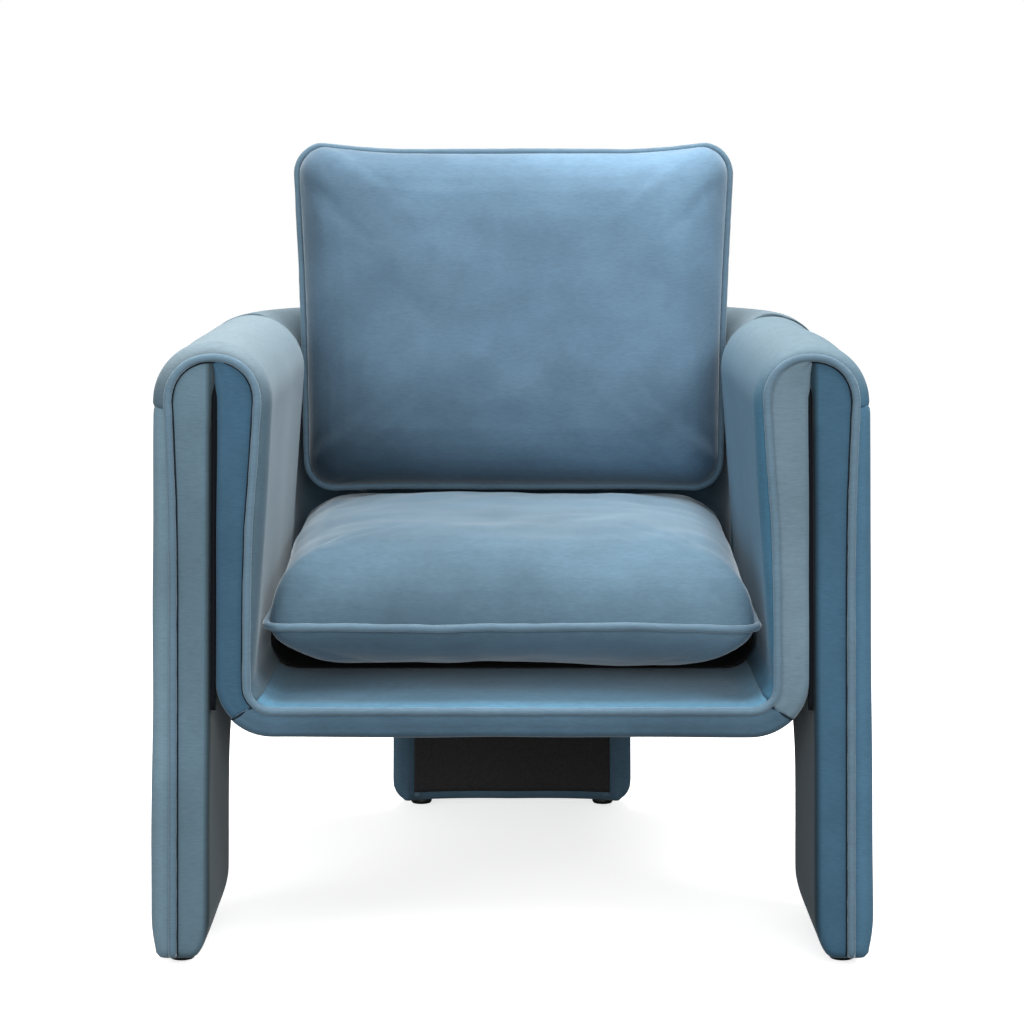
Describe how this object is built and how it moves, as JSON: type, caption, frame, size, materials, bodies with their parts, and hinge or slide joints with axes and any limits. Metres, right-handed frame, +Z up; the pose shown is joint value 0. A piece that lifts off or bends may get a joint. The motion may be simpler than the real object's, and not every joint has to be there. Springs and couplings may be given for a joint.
{
  "type": "upholstered armchair",
  "caption": "Barrel-backed upholstered armchair on slab legs, with piped edges and loose seat and back cushions that come out.",
  "frame": {"origin": "on the floor under the middle of the chair's bounding box", "axes": "+Z up, the chair faces -Y, +X to the right of someone who looks at its front"},
  "size_m": [0.74, 0.76, 0.8539],
  "materials": {
    "velvet": "matte",
    "wood": "matte",
    "foam": "matte",
    "spring_steel": "satin",
    "platform_cloth": "matte",
    "dust_cloth": "matte",
    "glide_plastic": "satin",
    "zipper": "matte"
  },
  "bodies": {
    "chair": {"arm_wrap_left": "velvet", "arm_wrap_right": "velvet", "back_roll": "velvet", "bucket_pad": "velvet", "front_welt": "velvet", "inner_pad_back": "velvet", "inner_pad_left": "velvet", "inner_pad_right": "velvet", "leg_pad_left": "velvet", "leg_pad_right": "velvet", "outer_pad_back": "velvet", "outer_pad_left": "velvet", "outer_pad_right": "velvet", "rear_leg_pad": "velvet", "rear_leg_welt_left": "velvet", "rear_leg_welt_right": "velvet", "trough_cover": "velvet", "arm_rail_left": "wood", "arm_rail_right": "wood", "back_board": "wood", "back_post_left": "wood", "back_post_right": "wood", "back_rail_lower": "wood", "back_rail_upper": "wood", "corner_block_front_left": "wood", "corner_block_front_right": "wood", "corner_block_rear_left": "wood", "corner_block_rear_right": "wood", "inner_board_left": "wood", "inner_board_right": "wood", "seat_rail_front": "wood", "seat_rail_left": "wood", "seat_rail_rear": "wood", "seat_rail_right": "wood", "side_board_left": "wood", "side_board_right": "wood", "seat_spring_1": "spring_steel", "seat_spring_2": "spring_steel", "seat_spring_3": "spring_steel", "seat_spring_4": "spring_steel", "platform_cloth": "platform_cloth", "dust_cover": "dust_cloth", "glide_front_left": "glide_plastic", "glide_front_right": "glide_plastic", "glide_middle_left": "glide_plastic", "glide_middle_right": "glide_plastic", "glide_rear_left": "glide_plastic", "glide_rear_right": "glide_plastic"},
    "seat_cushion": {"seat_filling": "foam", "seat_cover_top": "velvet", "seat_cover_bottom": "velvet", "seat_cushion_welt": "velvet", "seat_zip_tape": "zipper"},
    "back_cushion": {"back_filling": "foam", "back_cover_front": "velvet", "back_cover_rear": "velvet", "back_cushion_welt": "velvet", "back_zip_tape": "zipper"},
    "seat_zip_slider": {"seat_zip_slider": "spring_steel"},
    "back_zip_slider": {"back_zip_slider": "spring_steel"}
  },
  "joints": [
    {"name": "seat_cushion_slide", "type": "slide", "parent": "chair", "child": "seat_cushion", "axis": [0, -1, 0], "range_m": [0, 0.4]},
    {"name": "back_cushion_lift", "type": "slide", "parent": "chair", "child": "back_cushion", "axis": [0, 0.1908, 0.9816], "range_m": [0, 0.3]},
    {"name": "seat_zip", "type": "slide", "parent": "seat_cushion", "child": "seat_zip_slider", "axis": [1, 0, 0], "range_m": [0, 0.36]},
    {"name": "back_zip", "type": "slide", "parent": "back_cushion", "child": "back_zip_slider", "axis": [1, 0, 0], "range_m": [0, 0.36]}
  ]
}
